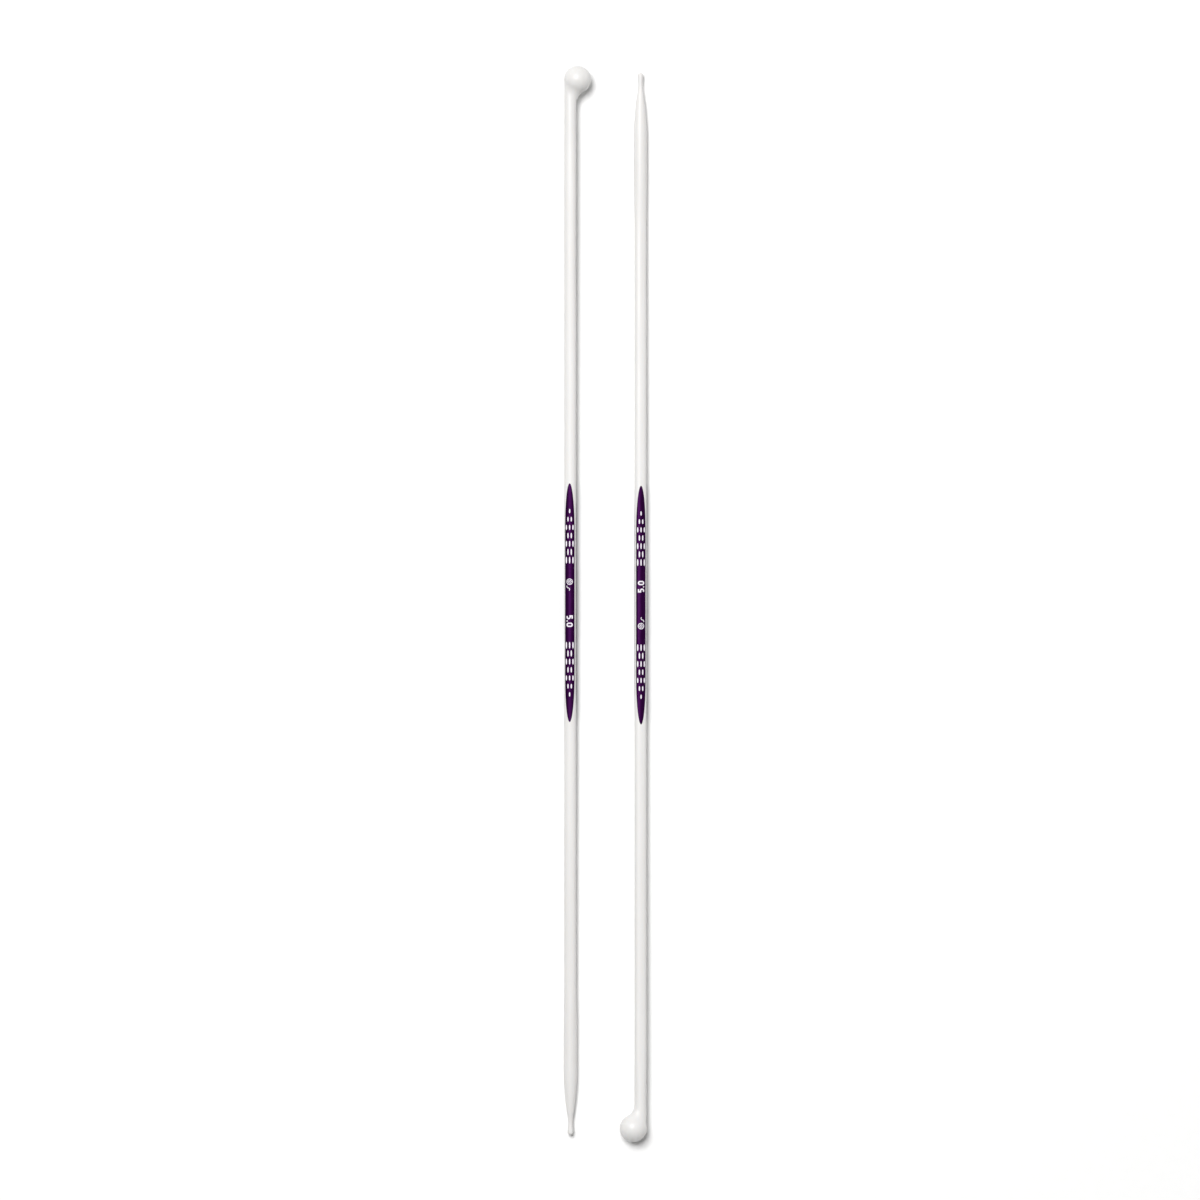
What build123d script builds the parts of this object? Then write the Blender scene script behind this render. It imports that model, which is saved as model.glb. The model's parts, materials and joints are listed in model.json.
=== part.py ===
from build123d import *
import math
import os

# A pair of straight, single-pointed knitting needles of 5.0 mm gauge, lying side by side on
# the XY plane, head to tail. +Z is up, and the needles run along Y: needle A has its ball head
# at +Y, needle B at -Y. Everything is in millimetres.
#
# One needle is drawn in its own frame first: Z runs along the shaft from the ball end (0) to
# the point (needle_length), +X points at the other needle, and +Y is up.

# ---- driving dimensions --------------------------------------------------------------------
needle_length = 400.0  # end of the ball to end of the point
gauge_diameter = 5.0  # round working length, the size that the needle is sold by
shaft_width = 4.5  # across the rounded-triangle shaft, one side up
ball_diameter = 10.2  # stop at the end of the needle
axis_spacing = 26.2  # between the two shafts as they lie
stagger = 1.16  # each needle lies this far towards its own ball end

# Rounded-triangle section of the shaft
corner_radius = 1.6
side_radius = 3.6  # the three sides are well crowned, not flat
section_roll = 7.0  # degrees that the upper side leans away from the other needle

# Ball head: it stands just proud of the shaft on the outer side, and overhangs on the inner
ball_proud = 0.15
neck_fillet = 5.3
head_length = 18.0  # ball end to the face where the shaft starts
round_to_triangle = 16.0  # length over which the round neck becomes the rounded triangle

# Point: round gauge length, taper, thin neck and a drop-shaped end
gauge_length = 14.0
gauge_swell = 20.0  # length over which the triangle becomes the round gauge length
taper_length = 24.0  # gauge length to the very end
taper_points = [(1.37, 9.0), (2.05, 15.0)]  # (radius, distance from the end)
tip_neck_radius = 0.87
tip_neck_from_end = 4.6
drop_radius = 1.05

# Stiff core: a rod inside the needle, with three pads flush with the sides of the shaft
rod_radius = 1.3
rod_from_ball_end = 9.0
rod_from_point = 18.0
pad_start = 156.1  # from the ball end
pad_length = 89.2
pad_half_width = 1.79
pad_end_taper = 17.0  # each end of a pad is half of an ellipse of this length
pad_floor = 1.2  # underside of a pad, measured from the axis

# ---- worked out from them ------------------------------------------------------------------
shaft_radius = shaft_width / 2
gauge_radius = gauge_diameter / 2
ball_radius = ball_diameter / 2
ball_offset = ball_radius - shaft_radius - ball_proud
gauge_end = needle_length - taper_length
tip_start = gauge_end - gauge_length
triangle_start = head_length + round_to_triangle
triangle_end = tip_start - gauge_swell
sides = [90 + 120 * k for k in range(3)]  # directions that the three sides face
corner_reach = (shaft_radius - corner_radius) / math.cos(math.radians(30))
side_setback = (
    math.sqrt((side_radius - corner_radius) ** 2 - (corner_reach * math.cos(math.radians(30))) ** 2)
    - corner_reach / 2
)
# Half of the angle that a side's arc covers, seen from that arc's own centre
side_half_angle = math.degrees(math.asin((shaft_radius - corner_radius) / (side_radius - corner_radius)))
# The same joint between side and corner, as an angle about the needle's axis
joint_x = side_radius * math.sin(math.radians(side_half_angle))
joint_y = side_radius * math.cos(math.radians(side_half_angle)) - side_setback
joint_angle = math.degrees(math.atan2(joint_x, joint_y))
# The needle rests on the ball and on the point end of its gauge length
rest_tilt = math.degrees(math.asin((ball_radius - gauge_radius) / (gauge_end - ball_radius)))


def arc_on(direction, half_angle, radius, setback):
    """An arc that faces a direction, about a centre set back from the axis along it."""
    turned = math.radians(direction)
    centre = (-setback * math.cos(turned), -setback * math.sin(turned))
    return CenterArc(centre, radius, direction - half_angle, 2 * half_angle)


def triangle_section():
    """The shaft's section: three crowned sides and three rounded corners, all tangent."""
    arcs = []
    for side in sides:
        facing = side + section_roll
        arcs.append(arc_on(facing, side_half_angle, side_radius, side_setback))
        arcs.append(arc_on(facing + 60, 60 - side_half_angle, corner_radius, -corner_reach))
    return make_face(Wire(arcs))


def round_section(radius):
    """A circle in six arcs that match the triangle's, so that a loft between them runs true."""
    arcs = []
    for side in sides:
        facing = side + section_roll
        arcs.append(arc_on(facing, joint_angle, radius, 0))
        arcs.append(arc_on(facing + 60, 60 - joint_angle, radius, 0))
    return make_face(Wire(arcs))


def ball_head():
    """The off-centre ball, run into a round neck by a hollow sweep on the inner side."""
    ball = Pos(ball_offset, 0, ball_radius) * Sphere(ball_radius)
    neck_length = head_length - ball_radius
    neck = Pos(0, 0, ball_radius) * extrude(Circle(shaft_radius), neck_length)
    head = ball + neck
    crease = [e for e in head.edges() if ball_radius < e.center().Z < head_length - neck_fillet]
    return fillet(crease, neck_fillet)


def shaft():
    """The long grip: round where it meets the neck, a rounded triangle for the rest."""
    sections = [
        Pos(0, 0, head_length) * round_section(shaft_radius),
        Pos(0, 0, triangle_start) * triangle_section(),
        Pos(0, 0, triangle_end) * triangle_section(),
    ]
    return loft(sections, ruled=True)


def point():
    """The swell from triangle to gauge size, the gauge length, its taper, and the drop."""
    swell = loft(
        [Pos(0, 0, triangle_end) * triangle_section(), Pos(0, 0, tip_start) * round_section(gauge_radius)]
    )
    neck_z = needle_length - tip_neck_from_end
    drop_z = needle_length - drop_radius
    stations = [(radius, needle_length - from_end) for radius, from_end in reversed(taper_points)]
    gauge = Line((gauge_radius, tip_start), (gauge_radius, gauge_end))
    taper = Spline([gauge @ 1] + stations + [(tip_neck_radius, neck_z)], tangents=[(0, 1), (0, 1)])
    drop = Spline([taper @ 1, (drop_radius, drop_z)], tangents=[(0, 1), (0, 1)])
    end = CenterArc((0, drop_z), drop_radius, 0, 90)
    axis = Polyline(end @ 1, (0, tip_start), gauge @ 0)
    half = Plane.XZ * make_face(Wire([gauge, taper, drop, end, *axis.edges()]))
    return swell + revolve(half, Axis.Z)


def pad(facing, body):
    """One long pad of the core, flush with a side of the shaft, with elliptical ends."""
    middle = pad_start + pad_length / 2
    turned = math.radians(facing)
    outward = Vector(math.cos(turned), math.sin(turned), 0)
    plane = Plane(origin=outward * pad_floor + Vector(0, 0, middle), x_dir=(0, 0, 1), z_dir=outward)
    straight = pad_length - 2 * pad_end_taper
    outline = Rectangle(straight, 2 * pad_half_width)
    for end in (-1, 1):
        outline += Pos(end * straight / 2, 0) * Ellipse(pad_end_taper, pad_half_width)
    return extrude(plane * outline, shaft_radius) & body


def core(body):
    """The stiff rod down the middle with its three pads."""
    length = needle_length - rod_from_ball_end - rod_from_point
    rod = Pos(0, 0, rod_from_ball_end) * extrude(Circle(rod_radius), length)
    rod = fillet(rod.edges(), 0.9 * rod_radius)
    for side in sides:
        rod += pad(side + section_roll, body)
    return rod


def one_needle():
    """The needle's pieces in its own frame, by name."""
    grip = shaft()
    stiffener = core(grip)
    return {
        "ball_head": ball_head() - stiffener,
        "shaft": grip - stiffener,
        "point": point() - stiffener,
        "core": stiffener,
    }


def lying(side):
    """Where a needle lies: side is -1 for needle A, 1 for needle B, which is turned about Z."""
    turn = 0 if side < 0 else 180
    half_span = needle_length / 2 + stagger - ball_radius
    ball_centre = Pos(-axis_spacing / 2, half_span, ball_radius)
    return Rot(0, 0, turn) * ball_centre * Rot(90 + rest_tilt, 0, 0) * Pos(0, 0, -ball_radius)


if __name__ == "__main__":
    os.makedirs("parts", exist_ok=True)
    pieces = one_needle()
    for letter, side in (("a", -1), ("b", 1)):
        for name, piece in pieces.items():
            export_step(lying(side) * piece, f"parts/needle_{letter}_{name}.step")
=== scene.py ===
import json
import math

import bmesh
import bpy
import numpy as np
from mathutils import Matrix, Vector


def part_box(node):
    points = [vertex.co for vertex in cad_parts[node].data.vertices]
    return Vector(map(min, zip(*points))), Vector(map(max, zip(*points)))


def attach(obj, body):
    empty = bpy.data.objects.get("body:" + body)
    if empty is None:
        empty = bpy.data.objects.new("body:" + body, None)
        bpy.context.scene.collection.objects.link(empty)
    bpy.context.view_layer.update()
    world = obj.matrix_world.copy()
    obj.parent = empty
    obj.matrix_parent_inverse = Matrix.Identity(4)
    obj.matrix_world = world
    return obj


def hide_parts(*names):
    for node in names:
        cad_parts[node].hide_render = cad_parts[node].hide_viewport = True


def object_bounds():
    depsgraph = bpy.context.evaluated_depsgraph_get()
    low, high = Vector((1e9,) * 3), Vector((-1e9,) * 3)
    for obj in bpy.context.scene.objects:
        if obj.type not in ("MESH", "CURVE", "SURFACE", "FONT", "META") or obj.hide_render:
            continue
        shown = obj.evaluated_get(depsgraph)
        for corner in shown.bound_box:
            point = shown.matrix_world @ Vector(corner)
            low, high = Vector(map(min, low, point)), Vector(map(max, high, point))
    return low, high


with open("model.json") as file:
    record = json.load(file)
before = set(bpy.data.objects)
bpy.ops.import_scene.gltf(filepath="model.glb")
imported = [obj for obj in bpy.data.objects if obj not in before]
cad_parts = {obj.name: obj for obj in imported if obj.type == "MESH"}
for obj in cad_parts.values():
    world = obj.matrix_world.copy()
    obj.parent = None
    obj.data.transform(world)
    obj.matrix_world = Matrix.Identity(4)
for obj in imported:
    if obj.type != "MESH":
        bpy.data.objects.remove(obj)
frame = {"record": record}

cad_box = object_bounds()

# A pair of straight plastic knitting needles: white skins moulded over dark purple cores, which
# come up flush in three long windows in the grip, and white print on those three pads.
#
# Each needle is shaped in its own frame, in millimetres: Z runs along it from the end of the
# ball (0) to the point, +X faces the other needle and +Y is up. needle_placing() takes that
# frame into the shared one, in metres.

MM = 0.001
mounts = {mount["name"]: mount for mount in frame["record"]["mounts"]}
gauge_dims = mounts["gauge_length_a"]["dims"]
head_low, head_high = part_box("needle_a_ball_head")

# ---- driving dimensions, in millimetres ------------------------------------------------------
needle_length = 400.0
shaft_radius = 2.25
gauge_radius = gauge_dims["r_mm"]
gauge_length = gauge_dims["length_mm"]
ball_radius = (head_high.z - head_low.z) / 2 / MM

corner_radius = 1.6  # rounded corners of the shaft's triangle section
side_radius = 3.6  # its three crowned sides
section_roll = 7.0  # degrees that the upper side leans away from the other needle

ball_proud = 0.15
neck_fillet = 5.3
head_length = 18.0
round_to_triangle = 16.0
gate_radius = 0.9  # moulding gate, a small dish at the end of the ball
gate_depth = 0.12
stub_radius = 0.45 * gate_radius  # what is left of the gate, in the middle of the dish
stub_height = 0.8 * gate_depth

gauge_swell = 20.0
taper_length = 24.0
taper_stations = [(24.0, gauge_radius), (15.0, 2.05), (9.0, 1.37), (4.6, 0.87)]  # (from end, radius)
drop_radius = 1.05

pad_start = 156.1
pad_length = 89.2
pad_half_width = 1.79
pad_end_taper = 17.0
pad_floor = 1.2
seam_lip = 0.05  # rounded edges on both sides of the seam between pad and skin
seam_gap = 0.004
edge_steps = 5  # faces round one of those edges
parting_height = 0.02  # ridge that the mould's parting leaves along two corners
parting_half_width = 0.065

rod_radius = 1.3
rod_from_ball_end = 9.0
rod_from_point = 18.0

ink_lift = 0.022  # over the pad
ink_sink = 0.012  # its underside, within the pad
dash_counts = (3, 2, 3, 2, 3, 2, 1)  # dashes in each row, from the middle of the grip outwards
first_dash_row = 15.9  # from the middle of the pad
dash_pitch = 3.06
dash_lane = 1.25
dash_width = 0.5
longest_dash = 2.45
dash_shortening = 0.14  # from one row to the next

size_mark_start = 4.7  # from the pad's middle towards the point
size_mark_height = 2.4
size_mark_stroke = 0.5
yarn_mark_middle = -6.7  # from the pad's middle
yarn_ball_radius = 1.05
yarn_stroke = 0.26

# ---- worked out from them --------------------------------------------------------------------
ball_offset = ball_radius - shaft_radius - ball_proud
triangle_start = head_length + round_to_triangle
gauge_end = needle_length - taper_length
tip_start = gauge_end - gauge_length
triangle_end = tip_start - gauge_swell
pad_middle = pad_start + pad_length / 2
pad_end = pad_start + pad_length
facings = [90 + section_roll + 120 * k for k in range(3)]
corner_reach = (shaft_radius - corner_radius) / math.cos(math.radians(30))
corner_across = corner_reach * math.sin(math.radians(60))
corner_height = corner_reach * math.cos(math.radians(60))
side_setback = math.sqrt((side_radius - corner_radius) ** 2 - corner_across**2) - corner_height
side_joint = corner_across * side_radius / (side_radius - corner_radius)
side_joint_angle = math.degrees(
    math.atan2(side_joint, math.sqrt(side_radius**2 - side_joint**2) - side_setback)
)
taper_profile = [(needle_length - from_end, radius) for from_end, radius in taper_stations]
drop_profile = [taper_profile[-1], (needle_length - drop_radius, drop_radius)]
ink_shoulder = 0.5 * ink_lift
size_mark_base = -size_mark_height / 2
half_stroke = size_mark_stroke / 2


# ---- the needle's surface --------------------------------------------------------------------
def ease(amount):
    """0 to 1 with a level start and end."""
    amount = np.clip(amount, 0, 1)
    return amount * amount * (3 - 2 * amount)


def side_height(across):
    """Height of the triangle section over the axis, along a side's facing, at an offset across."""
    across = np.abs(across)
    crown = np.sqrt(side_radius**2 - across**2) - side_setback
    over_corner = np.clip(corner_radius**2 - (across - corner_across) ** 2, 0, None)
    return np.where(across <= side_joint, crown, corner_height + np.sqrt(over_corner))


def triangle_reach(azimuth):
    """Distance from the axis to the triangle section at an azimuth in degrees."""
    from_facing = (np.asarray(azimuth) - facings[0] + 60) % 120 - 60
    a = np.radians(from_facing)
    side = np.sqrt(side_radius**2 - (side_setback * np.sin(a)) ** 2) - side_setback * np.cos(a)
    b = np.radians(60 - np.abs(from_facing))
    corner = corner_reach * np.cos(b)
    corner = corner + np.sqrt(corner_radius**2 - (corner_reach * np.sin(b)) ** 2)
    return np.where(np.abs(from_facing) <= side_joint_angle, side, corner)


def spline_slopes(x, y):
    """Slopes of the smooth cubic through the points that is level at both ends."""
    count = len(x)
    matrix = np.eye(count)
    right = np.zeros(count)
    for i in range(1, count - 1):
        before, after = x[i] - x[i - 1], x[i + 1] - x[i]
        matrix[i, i - 1 : i + 2] = (1 / before, 2 / before + 2 / after, 1 / after)
        right[i] = 3 * (y[i] - y[i - 1]) / before**2 + 3 * (y[i + 1] - y[i]) / after**2
    return np.linalg.solve(matrix, right)


def smooth_profile(z, points):
    """The height at z of the smooth cubic through (z, height) points."""
    x, y = np.array(points).T
    slopes = spline_slopes(x, y)
    i = int(np.clip(np.searchsorted(x, z) - 1, 0, len(x) - 2))
    width = x[i + 1] - x[i]
    t = (z - x[i]) / width
    start = (2 * t**3 - 3 * t**2 + 1) * y[i] + (t**3 - 2 * t**2 + t) * width * slopes[i]
    end = (3 * t**2 - 2 * t**3) * y[i + 1] + (t**3 - t**2) * width * slopes[i + 1]
    return start + end


def point_radius(z):
    """Radius of the round point, from the gauge length to the end of the drop."""
    if z <= gauge_end:
        return gauge_radius
    if z <= taper_profile[-1][0]:
        return smooth_profile(z, taper_profile)
    if z <= drop_profile[-1][0]:
        return smooth_profile(z, drop_profile)
    beyond = z - drop_profile[-1][0]
    return math.sqrt(max(drop_radius**2 - beyond**2, 0))


def skin_reach(azimuth, z):
    """Distance from the axis to the skin at azimuths in degrees, from the head to the point."""
    triangle = triangle_reach(azimuth)
    if z < triangle_end:
        share = ease((z - head_length) / round_to_triangle)
        return shaft_radius + (triangle - shaft_radius) * share
    share = ease((z - triangle_end) / gauge_swell)
    return triangle + (point_radius(z) - triangle) * share


def window_half_width(z):
    """Half of the width of a grip window: straight, with half-ellipse ends."""
    past_straight = abs(z - pad_middle) - (pad_length / 2 - pad_end_taper)
    if past_straight <= 0:
        return pad_half_width
    return pad_half_width * math.sqrt(max(1 - (past_straight / pad_end_taper) ** 2, 0))


def parting_ridge(z):
    """Height of the mould's parting line: on the shaft only, polished off head and point."""
    rise = ease((z - head_length) / round_to_triangle)
    fall = ease((tip_start - z) / gauge_swell)
    return parting_height * rise * fall


# ---- meshes made of strips -------------------------------------------------------------------
class Shell:
    """Strips of faces between rows of points, welded where they meet."""

    def __init__(self):
        self.points = []
        self.faces = []

    def strip(self, rows, closed=False):
        """Faces between neighbouring rows of equal length; closed joins each row's two ends."""
        first = len(self.points)
        width = len(rows[0])
        for row in rows:
            self.points.extend(tuple(point) for point in row)
        columns = width if closed else width - 1
        for i in range(len(rows) - 1):
            for j in range(columns):
                a = first + i * width + j
                b = first + i * width + (j + 1) % width
                self.faces.append((a, b, b + width, a + width))

    def mesh(self, name, placing, sharp_angle=50):
        """One welded mesh with outward normals, placed in the shared frame."""
        made = bpy.data.meshes.new(name)
        made.from_pydata(self.points, [], self.faces)
        shape = bmesh.new()
        shape.from_mesh(made)
        weld_distance = 0.001
        bmesh.ops.remove_doubles(shape, verts=shape.verts, dist=weld_distance)
        bmesh.ops.dissolve_degenerate(shape, edges=shape.edges, dist=weld_distance)
        bmesh.ops.recalc_face_normals(shape, faces=shape.faces)
        shape.to_mesh(made)
        shape.free()
        made.transform(placing)
        made.polygons.foreach_set("use_smooth", [True] * len(made.polygons))
        made.set_sharp_from_angle(angle=math.radians(sharp_angle))
        return made


def ring(reach, azimuth, z):
    """Points round the axis at distances and azimuths, at one height or at one each."""
    a = np.radians(azimuth)
    return np.stack([reach * np.cos(a), reach * np.sin(a), np.broadcast_to(z, a.shape)], axis=-1)


def on_side(facing, across, height, z):
    """Points in a side's own measures: offset across it, and height along its facing."""
    f = math.radians(facing)
    across, height = np.broadcast_arrays(across, height)
    x = height * math.cos(f) - across * math.sin(f)
    y = height * math.sin(f) + across * math.cos(f)
    return np.stack([x, y, np.broadcast_to(z, x.shape)], axis=-1)


def between(start, end, steps):
    """Evenly spaced values from start to end, both included."""
    return list(np.linspace(start, end, steps + 1))


def heights_along(*stretches):
    """Heights through stretches that follow one another, each given as (start, end, steps)."""
    heights = [stretches[0][0]]
    for start, end, steps in stretches:
        heights += between(start, end, steps)[1:]
    return heights


def quarter_turn(steps):
    """Angles in radians over a quarter turn, both ends included."""
    return np.radians(np.linspace(0, 90, steps + 1))


def full_circle(count):
    """Evenly spaced azimuths in degrees, all the way round."""
    return np.linspace(0, 360, count + 1)[:-1]


def turned_between(start, end, share):
    """Unit vectors on the way from each start direction to each end direction."""
    angle = np.arccos(np.clip(np.sum(start * end, axis=-1, keepdims=True), -1, 1))
    return (np.sin((1 - share) * angle) * start + np.sin(share * angle) * end) / np.sin(angle)


# ---- white skin ------------------------------------------------------------------------------
# Columns from one side's middle to the next's, as shares of the way. The corner is half way, and
# two more columns beside it are the feet of the parting ridge.
columns_per_side = 36
ridge_foot = math.degrees(parting_half_width / (corner_reach + corner_radius)) / 120
ridge_feet = [0.5 - ridge_foot, 0.5 + ridge_foot]
column_shares = np.array(sorted(between(0, 1, columns_per_side) + ridge_feet))
ridge_column = int(np.argmin(np.abs(column_shares - 0.5)))
parted_corners = (0, 2)  # those with the ridge, counted from the upper side
round_azimuths = np.concatenate([facing + 120 * column_shares[:-1] for facing in facings])


def gate_dish(off_pole):
    """Depth of the gate's dish, with the stub left in its middle, by distance from the pole."""
    dish_slope, stub_slope = 0.35 * gate_radius, 0.2 * gate_radius
    dish = gate_depth * ease((gate_radius - off_pole) / dish_slope)
    stub = stub_height * ease((stub_radius - off_pole) / stub_slope)
    return dish - stub


def head_rows():
    """The off-centre ball, the hollow sweep all round its neck, and the round neck."""
    ball_steps, sweep_steps, neck_steps = 60, 18, 6
    gate_crowding = 1.25  # rows lie closer together towards the gate
    a = np.radians(round_azimuths)
    outward = np.stack([np.cos(a), np.sin(a), np.zeros_like(a)], axis=-1)
    ball_centre = np.array([ball_offset, 0, ball_radius])
    sweep_centre = (shaft_radius + neck_fillet) * outward
    flat_distance = np.linalg.norm(sweep_centre - [ball_offset, 0, 0], axis=-1)
    sweep_centre[:, 2] = ball_radius + np.sqrt((ball_radius + neck_fillet) ** 2 - flat_distance**2)
    to_sweep = (sweep_centre - ball_centre) / (ball_radius + neck_fillet)
    to_pole = np.broadcast_to([0.0, 0.0, -1.0], to_sweep.shape)
    covered = np.arccos(np.sum(to_sweep * to_pole, axis=-1, keepdims=True))
    rows = []
    for share in np.linspace(0, 1, ball_steps + 1) ** gate_crowding:
        direction = turned_between(to_pole, to_sweep, share)
        depth = gate_dish(ball_radius * covered * share)
        rows.append(ball_centre + (ball_radius - depth) * direction)
    for share in between(0, 1, sweep_steps)[1:]:
        rows.append(sweep_centre + neck_fillet * turned_between(-to_sweep, -outward, share))
    sweep_level = sweep_centre[:, 2]
    for share in between(0, 1, neck_steps)[1:]:
        level = sweep_level + (head_length - sweep_level) * share
        rows.append(ring(shaft_radius, round_azimuths, level))
    return rows


def plain_ring(z):
    """One row round the skin outside the grip windows."""
    reach = skin_reach(round_azimuths, z)
    columns = len(column_shares) - 1
    for corner in parted_corners:
        reach[corner * columns + ridge_column] += parting_ridge(z)
    return ring(reach, round_azimuths, z)


def window_heights():
    """Heights of the rows through the grip, close together at the windows' ends."""
    end_steps, middle_steps = 26, 16
    near = [pad_start + pad_end_taper * (1 - s) for s in np.sin(quarter_turn(end_steps))[::-1]]
    middle = between(pad_start + pad_end_taper, pad_end - pad_end_taper, middle_steps)[1:-1]
    far = [pad_start + pad_end - z for z in reversed(near)]
    return near + middle + far


def window_lip(z):
    """Radius of the seam's rounded edges, which shrinks into the windows' pointed ends."""
    return min(seam_lip, 0.5 * window_half_width(z))


def corner_row(corner, z):
    """One row over a corner of the skin, from the edge of one window to that of the next."""
    across = window_half_width(z) + window_lip(z)
    edge = math.degrees(math.atan2(across, side_height(across)))
    azimuth = facings[corner] + edge + (120 - 2 * edge) * column_shares
    reach = triangle_reach(azimuth)
    if corner in parted_corners:
        reach[ridge_column] += parting_ridge(z)
    return ring(reach, azimuth, z)


def window_row(facing, z):
    """One row down through a window: rounded edge, wall, floor, wall and rounded edge."""
    half = window_half_width(z)
    lip = window_lip(z)
    a = quarter_turn(edge_steps)
    across = half + lip * (1 - np.sin(a))
    height = side_height(across) - lip * (1 - np.cos(a))
    across = np.concatenate([across, [half, 0]])
    height = np.concatenate([height, [pad_floor, pad_floor]])
    across = np.concatenate([across, -across[-2::-1]])
    height = np.concatenate([height, height[-2::-1]])
    return on_side(facing, across, height, z)


def skin():
    """The whole white moulding of one needle, closed, with its three grip windows."""
    shell = Shell()
    collar = 0.05  # a short ring of faces at the windows' ends, which keeps their shading local
    drop_middle = needle_length - drop_radius
    before = heights_along((head_length, triangle_start, 12), (triangle_start, pad_start - collar, 34))
    before.append(pad_start)
    after = [pad_end] + heights_along(
        (pad_end + collar, triangle_end, 26),
        (triangle_end, tip_start, 20),
        (tip_start, gauge_end, 6),
        (gauge_end, drop_middle, 64),
    )
    after += [needle_length - drop_radius * (1 - s) for s in np.sin(quarter_turn(12))[1:]]
    shell.strip(head_rows(), closed=True)
    shell.strip([plain_ring(z) for z in before], closed=True)
    shell.strip([plain_ring(z) for z in after], closed=True)
    for corner, facing in enumerate(facings):
        shell.strip([corner_row(corner, z) for z in window_heights()])
        shell.strip([window_row(facing, z) for z in window_heights()])
    return shell


# ---- purple core -----------------------------------------------------------------------------
def pad_row(facing, z):
    """One row round a pad: crowned top, rounded edges, sides and underside."""
    top_steps = 13
    half = max(window_half_width(z) - seam_gap, 0)
    lip = min(window_lip(z), half)
    a = quarter_turn(edge_steps)
    edge_across = half - lip * (1 - np.sin(a))
    top_across = between(0, half - lip, top_steps)[:-1]
    across = np.concatenate([top_across, edge_across])
    height = side_height(across)
    height[top_steps:] -= lip * (1 - np.cos(a))
    bottom = pad_floor + seam_gap
    across = np.concatenate([across, [half, -half], -across[:0:-1]])
    height = np.concatenate([height, [bottom, bottom], height[:0:-1]])
    return on_side(facing, across, height, z)


def rod_rows():
    """The round rod down the middle, with rounded ends."""
    azimuth = full_circle(48)
    start, end = rod_from_ball_end, needle_length - rod_from_point
    a = quarter_turn(8)
    end_reaches = list(rod_radius * np.sin(a))
    end_heights = list(start + rod_radius * (1 - np.cos(a)))
    straight = between(start + rod_radius, end - rod_radius, 41)[1:-1]
    reaches = end_reaches + [rod_radius] * len(straight) + end_reaches[::-1]
    heights = end_heights + straight + [start + end - z for z in end_heights[::-1]]
    return [ring(np.full_like(azimuth, reach), azimuth, z) for reach, z in zip(reaches, heights)]


def core():
    """The purple moulding of one needle: the rod with its three pads."""
    shell = Shell()
    shell.strip(rod_rows(), closed=True)
    for facing in facings:
        shell.strip([pad_row(facing, z) for z in window_heights()], closed=True)
    return shell


# ---- white print on the pads -----------------------------------------------------------------
def on_pad(facing, z, across, lift):
    """Points on a pad: z along the needle from the pad's middle, across it, and lifted off it."""
    return on_side(facing, across, side_height(across) + lift, pad_middle + np.asarray(z))


def ink_dot(shell, facing, middle, across, length, width):
    """One printed dash or dot: a low cushion of ink with a rounded-oblong outline."""
    a = np.radians(full_circle(28))
    roundness = 0.8  # 1 is an ellipse, and less is closer to a rectangle
    p = np.sign(np.cos(a)) * np.abs(np.cos(a)) ** roundness * length / 2
    q = np.sign(np.sin(a)) * np.abs(np.sin(a)) ** roundness * width / 2
    underside = [(0, -ink_sink), (1, -ink_sink)]
    top = [(1, ink_shoulder), (0.85, ink_lift), (0.45, ink_lift), (0, ink_lift)]
    rows = []
    for scale, lift in underside + top:
        rows.append(on_pad(facing, middle + scale * p, across + scale * q, lift))
    shell.strip(rows, closed=True)


def ink_stroke(shell, facing, path, width, closed=False):
    """A printed line of even width along a path of (z, across) points on a pad."""
    path = np.array(path, float)
    if closed:
        before, after = np.roll(path, 1, axis=0), np.roll(path, -1, axis=0)
    else:
        before = np.vstack([2 * path[0] - path[1], path[:-1]])
        after = np.vstack([path[1:], 2 * path[-1] - path[-2]])
    into = (path - before) / np.linalg.norm(path - before, axis=1, keepdims=True)
    out = (after - path) / np.linalg.norm(after - path, axis=1, keepdims=True)
    bisector = (into + out) / np.linalg.norm(into + out, axis=1, keepdims=True)
    mitre = 1 / np.clip(np.sum(bisector * into, axis=1, keepdims=True), 0.5, 1)
    normal = np.stack([-bisector[:, 1], bisector[:, 0]], axis=1) * mitre * width / 2
    offsets = np.array([-1, -1, -0.85, -0.4, 0, 0.4, 0.85, 1, 1])
    lifts = np.array([-ink_sink, ink_shoulder] + [ink_lift] * 5 + [ink_shoulder, -ink_sink])
    rows = []
    for point, sideways in zip(path, normal):
        spots = point + offsets[:, None] * sideways
        rows.append(on_pad(facing, spots[:, 0], spots[:, 1], lifts))
    if closed:
        rows.append(rows[0])
    else:
        rows.insert(0, np.broadcast_to(rows[0].mean(axis=0), rows[0].shape))
        rows.append(np.broadcast_to(rows[-1].mean(axis=0), rows[-1].shape))
    shell.strip(rows, closed=True)


def arc_path(centre, radii, start, end, steps):
    """Points (right, up) on an ellipse from one angle to another, in degrees."""
    a = np.radians(np.linspace(start, end, steps + 1))
    return [(centre[0] + radii[0] * math.cos(t), centre[1] + radii[1] * math.sin(t)) for t in a]


def oblong_path(centre, radii, steps):
    """Points (right, up) round an upright oblong with full round ends."""
    straight = radii[1] - radii[0]
    upper = arc_path((centre[0], centre[1] + straight), (radii[0], radii[0]), 0, 180, steps // 2)
    lower = arc_path((centre[0], centre[1] - straight), (radii[0], radii[0]), 180, 360, steps // 2)
    rise = straight_path(lower[-1], upper[0])[1:-1]
    fall = straight_path(upper[-1], lower[0])[1:-1]
    return upper + fall + lower + rise


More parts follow.
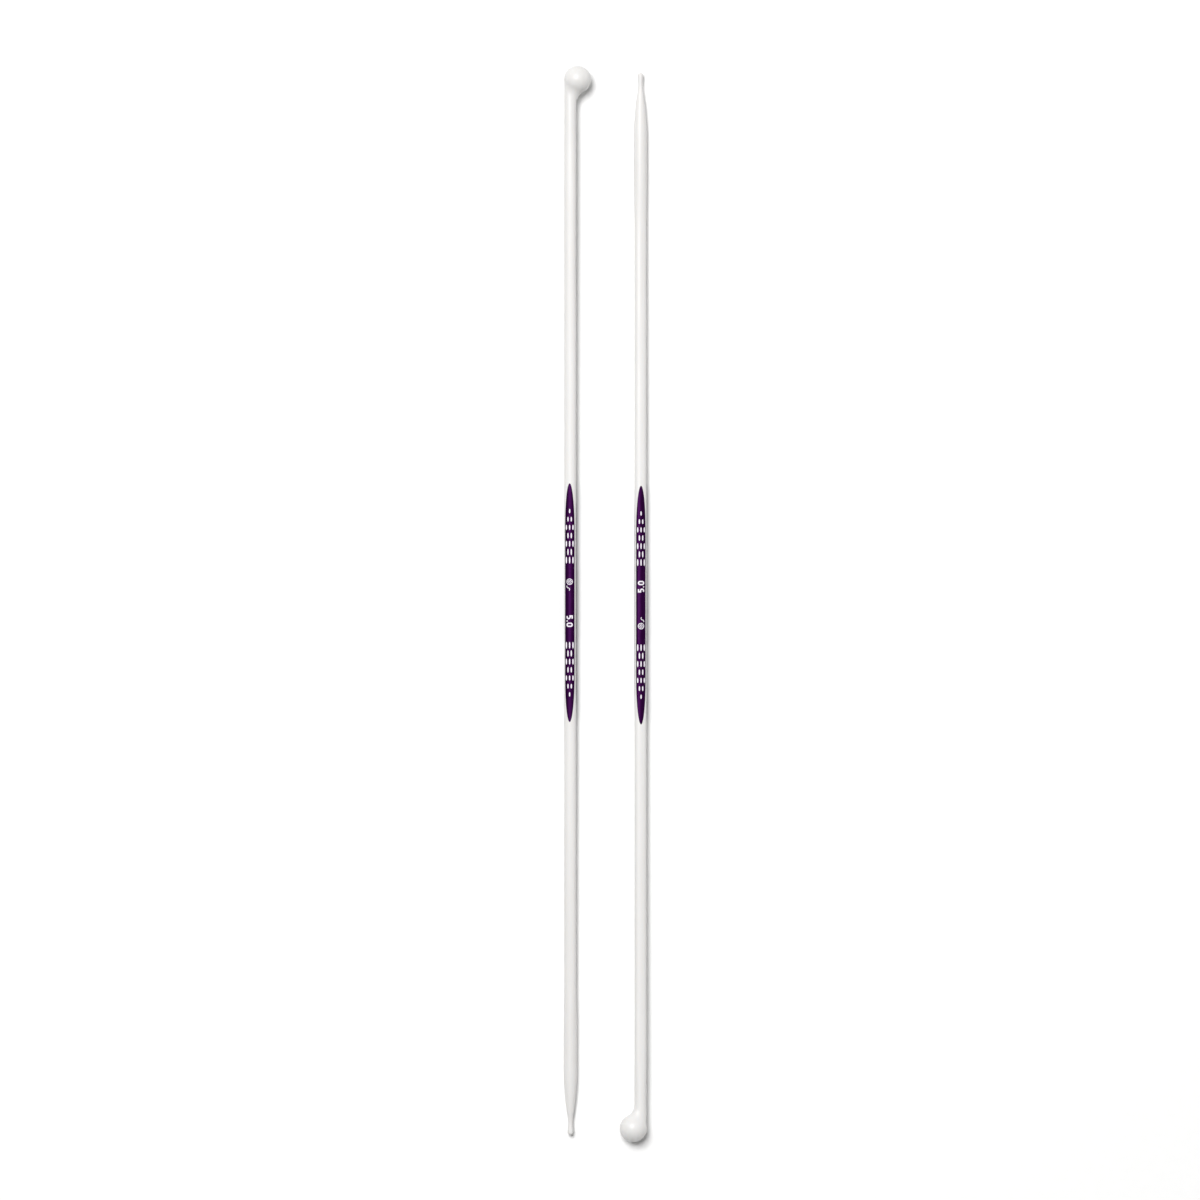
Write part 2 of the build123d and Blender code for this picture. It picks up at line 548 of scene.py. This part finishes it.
def straight_path(*corners, clear=0.12):
    """Points (right, up) along straight runs between corners, with none close beside a corner."""
    step = 0.12
    path = [corners[0]]
    for start, end in zip(corners, corners[1:]):
        length = math.dist(start, end)
        count = max(1, round((length - 2 * clear) / step))
        for travelled in between(clear, length - clear, count) + [length]:
            share = travelled / length
            right = start[0] + (end[0] - start[0]) * share
            up = start[1] + (end[1] - start[1]) * share
            path.append((right, up))
    return path


def reading(path, start, base):
    """Takes (right, up) points to (z, across): the print reads towards the needle's point."""
    return [(start + right, -(base + up)) for right, up in path]


def dashes():
    """Rows of dashes on both halves of each pad, shorter and fewer towards the pad's ends."""
    shell = Shell()
    for facing in facings:
        for end in (-1, 1):
            for row, count in enumerate(dash_counts):
                middle = end * (first_dash_row + dash_pitch * row)
                length = longest_dash - dash_shortening * row
                for lane in range(count):
                    across = (lane - (count - 1) / 2) * dash_lane
                    ink_dot(shell, facing, middle, across, length, dash_width)
    return shell


def five_path():
    """The digit 5: flag and stem in straight runs, and then the bowl."""
    right, bowl_middle, bowl_width, bowl_height = 1.5, 0.66, 0.6, 0.57
    bowl_top = half_stroke + 2 * bowl_height
    top = size_mark_height - half_stroke
    corners = ((right - half_stroke, top), (half_stroke, top), (half_stroke, bowl_top))
    centre = (bowl_middle, half_stroke + bowl_height)
    bowl = arc_path(centre, (bowl_width, bowl_height), 90, -125, 22)
    return straight_path(*corners, clear=1.2 * half_stroke) + bowl


def nought_path():
    """The digit 0: an upright oblong."""
    middle, half_width = 3.55, 0.82
    centre = (middle, size_mark_height / 2)
    radii = (half_width - half_stroke, size_mark_height / 2 - half_stroke)
    return oblong_path(centre, radii, 36)


def size_mark():
    """The gauge in millimetres, 5.0, on the upper side."""
    shell = Shell()
    stop_middle = 2.12
    five = reading(five_path(), size_mark_start, size_mark_base)
    nought = reading(nought_path(), size_mark_start, size_mark_base)
    (stop,) = reading([(stop_middle, half_stroke)], size_mark_start, size_mark_base)
    ink_stroke(shell, facings[0], five, size_mark_stroke)
    ink_stroke(shell, facings[0], nought, size_mark_stroke, closed=True)
    ink_dot(shell, facings[0], *stop, size_mark_stroke, size_mark_stroke)
    return shell


def yarn_winding(centre, offset):
    """One turn of yarn across the ball, slanting and slightly bowed, at an offset from its centre."""
    slant = math.radians(35)
    bow, clearance = 0.16, 0.04
    half = math.sqrt((yarn_ball_radius - yarn_stroke) ** 2 - offset**2) - clearance
    path = []
    for t in between(-1, 1, 12):
        run, rise = t * half, offset + bow * (1 - t * t) - bow / 2
        right = centre[0] + run * math.cos(slant) - rise * math.sin(slant)
        up = centre[1] + run * math.sin(slant) + rise * math.cos(slant)
        path.append((right, up))
    return path


def yarn_tail():
    """The loose end: it starts low beside the ball, rises and curls over."""
    level = -0.5
    rise_middle, rise_width, rise_height = 0.55, 0.62, 0.55
    curl_width, curl_height = 0.55, 0.5
    curl_middle = rise_middle + rise_width + curl_width
    rise = arc_path((rise_middle, level), (rise_width, rise_height), 250, 360, 14)
    curl = arc_path((curl_middle, level), (curl_width, curl_height), 180, 40, 14)
    return rise + curl[1:]


def yarn_mark():
    """A plain drawing of a ball of yarn with its loose end, on the upper side."""
    shell = Shell()
    centre = (-1.15, 0.0)
    outline = arc_path(centre, (yarn_ball_radius, yarn_ball_radius), 0, 360, 40)[:-1]
    lines = [yarn_winding(centre, offset) for offset in (-0.5, 0.0, 0.5)] + [yarn_tail()]
    ink_stroke(shell, facings[0], reading(outline, yarn_mark_middle, 0), yarn_stroke, closed=True)
    for line in lines:
        ink_stroke(shell, facings[0], reading(line, yarn_mark_middle, 0), yarn_stroke)
    return shell


# ---- materials -------------------------------------------------------------------------------
def new_material(name):
    """A node material, with its node tree and its Principled shader."""
    material = bpy.data.materials.new(name)
    material.use_nodes = True
    tree = material.node_tree
    return material, tree, tree.nodes["Principled BSDF"]


def noise(tree, scale, stretch=1.0, detail=3.0):
    """Noise over the piece, in features per metre, drawn out along the needles by stretch."""
    where = tree.nodes.new("ShaderNodeTexCoord")
    mapping = tree.nodes.new("ShaderNodeMapping")
    mapping.inputs["Scale"].default_value = (scale, scale / stretch, scale)
    pattern = tree.nodes.new("ShaderNodeTexNoise")
    pattern.inputs["Scale"].default_value = 1.0
    pattern.inputs["Detail"].default_value = detail
    tree.links.new(where.outputs["Object"], mapping.inputs["Vector"])
    tree.links.new(mapping.outputs["Vector"], pattern.inputs["Vector"])
    return pattern.outputs["Fac"]


def graded(tree, value, low, high, span=(0.3, 0.7)):
    """A value turned into numbers between low and high."""
    grade = tree.nodes.new("ShaderNodeMapRange")
    grade.inputs["From Min"].default_value = span[0]
    grade.inputs["From Max"].default_value = span[1]
    grade.inputs["To Min"].default_value = low
    grade.inputs["To Max"].default_value = high
    tree.links.new(value, grade.inputs["Value"])
    return grade.outputs["Result"]


def mixed(tree, share, first, second):
    """A mix of two colours, each of them a colour or another node's output."""
    mix = tree.nodes.new("ShaderNodeMix")
    mix.data_type = "RGBA"
    tree.links.new(share, mix.inputs["Factor"])
    for socket, colour in (("A", first), ("B", second)):
        target = [s for s in mix.inputs if s.name == socket and s.type == "RGBA"][0]
        if isinstance(colour, tuple):
            target.default_value = (*colour, 1.0)
        else:
            tree.links.new(colour, target)
    return [s for s in mix.outputs if s.type == "RGBA"][0]


def bump(tree, height, depth, under=None):
    """A bump of a depth in metres, on top of another bump's normals."""
    node = tree.nodes.new("ShaderNodeBump")
    node.inputs["Distance"].default_value = depth
    tree.links.new(height, node.inputs["Height"])
    if under is not None:
        tree.links.new(under, node.inputs["Normal"])
    return node.outputs["Normal"]


def white_plastic():
    """Satin milk-white polymer: slightly warm, with faint clouds, flow lines and a fine grain."""
    material, tree, shader = new_material("white_plastic")
    clouds = graded(tree, noise(tree, 45, stretch=3), 0, 1)
    flow = graded(tree, noise(tree, 900, stretch=40), 0, 1)
    base = mixed(tree, clouds, (0.715, 0.703, 0.688), (0.765, 0.757, 0.745))
    lined = mixed(tree, graded(tree, flow, 0, 0.35, (0, 1)), base, (0.79, 0.78, 0.77))
    tree.links.new(lined, shader.inputs["Base Color"])
    scuffs = graded(tree, noise(tree, 700, stretch=14, detail=5), 0.28, 0.48)
    tree.links.new(scuffs, shader.inputs["Roughness"])
    grain = bump(tree, noise(tree, 3400, stretch=2, detail=5), 0.000022)
    waves = bump(tree, noise(tree, 170, stretch=6), 0.00007, grain)
    tree.links.new(waves, shader.inputs["Normal"])
    shader.inputs["IOR"].default_value = 1.49
    shader.inputs["Specular IOR Level"].default_value = 0.4
    shader.inputs["Subsurface Weight"].default_value = 0.15
    shader.inputs["Subsurface Radius"].default_value = (1.0, 0.85, 0.7)
    shader.inputs["Subsurface Scale"].default_value = 0.0003
    return material


def purple_plastic():
    """Deep purple polymer filled with fine glass: faint streaks along the needle, soft gloss."""
    material, tree, shader = new_material("purple_plastic")
    clouds = graded(tree, noise(tree, 120, stretch=4), 0, 1)
    fibres = graded(tree, noise(tree, 2400, stretch=12, detail=4), 0, 1, (0.52, 0.72))
    base = mixed(tree, clouds, (0.0075, 0.0003, 0.012), (0.012, 0.0005, 0.018))
    streaked = mixed(tree, graded(tree, fibres, 0, 0.4, (0, 1)), base, (0.028, 0.002, 0.040))
    tree.links.new(streaked, shader.inputs["Base Color"])
    tree.links.new(graded(tree, noise(tree, 1500, stretch=5), 0.28, 0.42), shader.inputs["Roughness"])
    grain = bump(tree, noise(tree, 4200, stretch=3, detail=5), 0.000018)
    waves = bump(tree, noise(tree, 300, stretch=5), 0.00004, grain)
    tree.links.new(waves, shader.inputs["Normal"])
    shader.inputs["Specular IOR Level"].default_value = 0.42
    shader.inputs["Specular Tint"].default_value = (0.60, 0.09, 0.80, 1.0)
    return material


def white_ink():
    """Opaque white pad print: a touch of purple shows where it is thin."""
    material, tree, shader = new_material("white_ink")
    thin = graded(tree, noise(tree, 2600, detail=5), 0, 0.5, (0.55, 0.8))
    colour = mixed(tree, thin, (0.84, 0.79, 0.86), (0.52, 0.40, 0.57))
    tree.links.new(colour, shader.inputs["Base Color"])
    tree.links.new(graded(tree, noise(tree, 1800), 0.42, 0.6), shader.inputs["Roughness"])
    tree.links.new(bump(tree, noise(tree, 5200), 0.000008), shader.inputs["Normal"])
    return material


def pale_floor():
    """Plain matt white, with hardly any variation."""
    material, tree, shader = new_material("pale_floor")
    shade = graded(tree, noise(tree, 300), 0, 1)
    colour = mixed(tree, shade, (0.925, 0.925, 0.92), (0.935, 0.935, 0.93))
    tree.links.new(colour, shader.inputs["Base Color"])
    shader.inputs["Roughness"].default_value = 0.9
    shader.inputs["Specular IOR Level"].default_value = 0.1
    return material


# ---- pieces ----------------------------------------------------------------------------------
def needle_placing(letter):
    """The matrix from a needle's own frame, in millimetres, to the shared one, in metres."""
    mount = mounts["gauge_length_" + letter]
    forward = Vector(mount["axis"]).normalized()
    towards_other = Vector((-math.copysign(1, mount["pos_m"][0]), 0, 0))
    upward = forward.cross(towards_other)
    gauge_middle = gauge_end - gauge_length / 2
    ball_end = Vector(mount["pos_m"]) - forward * gauge_middle * MM
    turn = Matrix((towards_other, upward, forward)).transposed().to_4x4()
    return Matrix.Translation(ball_end) @ turn @ Matrix.Scale(MM, 4)


def place_piece(name, shell, letter, material):
    """A piece of one needle, riding on that needle's body."""
    mesh = shell.mesh(name, needle_placing(letter))
    mesh.materials.append(material)
    piece = bpy.data.objects.new(name, mesh)
    bpy.context.scene.collection.objects.link(piece)
    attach(piece, "needle_" + letter)
    return piece


def make_needles():
    """Both needles, each with its skin, core and print."""
    white, purple, ink = white_plastic(), purple_plastic(), white_ink()
    for letter in ("a", "b"):
        needle = "needle_" + letter
        moulding = place_piece(needle + "_white_skin", skin(), letter, white)
        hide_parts(needle + "_ball_head", needle + "_shaft", needle + "_point")
        stiffener = place_piece(needle + "_purple_core", core(), letter, purple)
        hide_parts(needle + "_core")
        place_piece(needle + "_print_dashes", dashes(), letter, ink)
        place_piece(needle + "_print_size", size_mark(), letter, ink)
        place_piece(needle + "_print_yarn", yarn_mark(), letter, ink)


# ---- floor, light and camera, in metres ------------------------------------------------------
def make_floor():
    """A wide plain floor at the height that the needles rest on."""
    half_size = 12.0
    level = cad_box[0].z
    corners = [(x * half_size, y * half_size, level) for x, y in ((-1, -1), (1, -1), (1, 1), (-1, 1))]
    mesh = bpy.data.meshes.new("floor")
    mesh.from_pydata(corners, [], [(0, 1, 2, 3)])
    mesh.materials.append(pale_floor())
    floor = bpy.data.objects.new("floor", mesh)
    bpy.context.scene.collection.objects.link(floor)


def make_world():
    """Dim white surroundings, brighter overhead, with a broad fill from the right."""
    overhead_strength, fill_strength = 0.10, 0.50
    world = bpy.data.worlds.new("studio")
    world.use_nodes = True
    tree = world.node_tree
    where = tree.nodes.new("ShaderNodeTexCoord")
    split = tree.nodes.new("ShaderNodeSeparateXYZ")
    tree.links.new(where.outputs["Generated"], split.inputs["Vector"])
    overhead = graded(tree, split.outputs["Z"], 0.0, overhead_strength, (0.0, 1.0))
    fill = graded(tree, split.outputs["X"], 0.0, fill_strength, (0.0, 1.0))
    strength = tree.nodes.new("ShaderNodeMath")
    strength.operation = "ADD"
    tree.links.new(overhead, strength.inputs[0])
    tree.links.new(fill, strength.inputs[1])
    tree.links.new(strength.outputs["Value"], tree.nodes["Background"].inputs["Strength"])
    tree.nodes["Background"].inputs["Color"].default_value = (1.0, 1.0, 1.0, 1.0)
    bpy.context.scene.world = world


def make_key_light():
    """A square softbox, high up beyond the needles' top end and a little to the left."""
    lean = Vector((-0.23, 0.36, 1.0))
    distance = 3.6
    light = bpy.data.lights.new("softbox", "AREA")
    light.size = 1.75
    light.energy = 149.0
    softbox = bpy.data.objects.new("softbox", light)
    softbox.location = lean.normalized() * distance
    softbox.rotation_euler = (-lean).to_track_quat("-Z", "Y").to_euler()
    softbox.visible_camera = False
    bpy.context.scene.collection.objects.link(softbox)


def make_camera():
    """A long lens straight above the pair."""
    low, high = cad_box
    left_of_middle, above_middle = 0.0020, 0.00146
    view_width = 0.4486
    distance = 2.4
    data = bpy.data.cameras.new("camera")
    data.sensor_width = 36.0
    data.lens = data.sensor_width * distance / view_width
    data.clip_end = 50.0
    camera = bpy.data.objects.new("camera", data)
    middle = (low + high) / 2
    camera.location = (middle.x - left_of_middle, middle.y + above_middle, middle.z + distance)
    bpy.context.scene.collection.objects.link(camera)
    bpy.context.scene.camera = camera


make_needles()
make_floor()
make_world()
make_key_light()
make_camera()
bpy.context.scene.view_settings.view_transform = "Standard"
